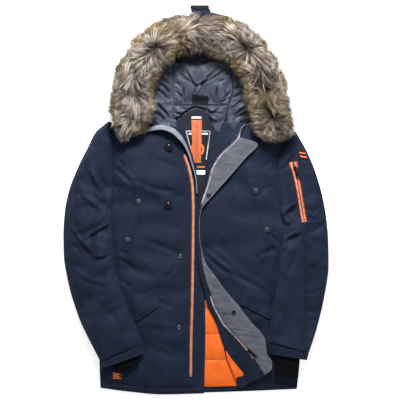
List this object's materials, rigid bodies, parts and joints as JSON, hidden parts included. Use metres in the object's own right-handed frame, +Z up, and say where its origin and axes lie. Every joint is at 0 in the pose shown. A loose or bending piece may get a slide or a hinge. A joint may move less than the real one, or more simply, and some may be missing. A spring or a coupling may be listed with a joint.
{
  "type": "hooded parka",
  "caption": "Padded winter parka laid flat on its back, front open, with a fur-trimmed hood, patch and welt pockets and knit cuffs.",
  "frame": {"origin": "middle of the footprint, on the surface that the coat lies on", "axes": "+Z up from the surface, +Y from the hem to the hood, +X to the wearer's left, which is the right-hand side for someone who looks down at the front"},
  "size_m": [0.7944, 1.164, 0.0956],
  "materials": {
    "shell": "matte navy twill",
    "lining": "orange quilted taffeta, slight sheen",
    "hood_lining": "grey padded taffeta, slight sheen",
    "facing": "grey woven facing",
    "zip_tape": "orange woven tape",
    "knit": "black rib knit",
    "fur": "long faux fur, brown with light tips",
    "label": "dark woven label cloth",
    "label_white": "white satin tag",
    "black_metal": "black semi-gloss"
  },
  "bodies": {
    "parka": {"back_lining": "lining", "back_panel": "shell", "button_lower": "black_metal", "button_upper": "black_metal", "care_tag": "label_white", "collar_binding": "facing", "collar_right": "shell", "cord_stop": "black_metal", "crown_strap": "shell", "cuff_left_top": "shell", "cuff_left_under": "shell", "cuff_right_top": "shell", "cuff_right_under": "shell", "flap_facing": "facing", "flap_left": "shell", "flap_right": "shell", "fur_ruff": "fur", "hanging_loop": "zip_tape", "hem_label": "zip_tape", "hood_lining_crown": "hood_lining", "hood_lining_nape": "hood_lining", "hood_lining_side_left": "hood_lining", "hood_lining_side_right": "hood_lining", "hood_patch": "label", "hood_shell": "shell", "inner_facing_lower": "shell", "inner_facing_upper": "shell", "left_front": "shell", "left_front_lining": "lining", "main_zip_slider": "black_metal", "neck_facing": "label", "neck_label": "label", "rib_left": "knit", "rib_right": "knit", "right_front": "shell", "size_tag": "label_white", "sleeve_badge": "label", "sleeve_left_top": "shell", "sleeve_left_under": "shell", "sleeve_pocket_seam": "shell", "sleeve_right_top": "shell", "sleeve_right_under": "shell", "sleeve_zip": "zip_tape", "sleeve_zip_slider": "black_metal", "snap_left_lower": "black_metal", "snap_left_upper": "black_metal", "snap_right_lower": "black_metal", "snap_right_upper": "black_metal", "welt_left": "shell", "welt_right": "shell", "welt_snap_left_lower": "shell", "welt_snap_left_upper": "shell", "welt_snap_right_lower": "shell", "welt_snap_right_upper": "shell", "zip_left_lower": "zip_tape", "zip_left_upper": "zip_tape", "zip_right": "zip_tape"},
    "main_pull": {"main_zip_pull": "black_metal"},
    "sleeve_pull": {"sleeve_zip_pull": "black_metal"}
  },
  "joints": [
    {"name": "main_pull_hinge", "type": "hinge", "parent": "parka", "child": "main_pull", "pos_m": [0.16, -0.451, 0.0413], "axis": [-0.6561, -0.7547, 0], "range_deg": [0, 160]},
    {"name": "sleeve_pull_hinge", "type": "hinge", "parent": "parka", "child": "sleeve_pull", "pos_m": [0.296, 0.094, 0.0341], "axis": [-0.9613, -0.2756, 0], "range_deg": [0, 160]}
  ]
}
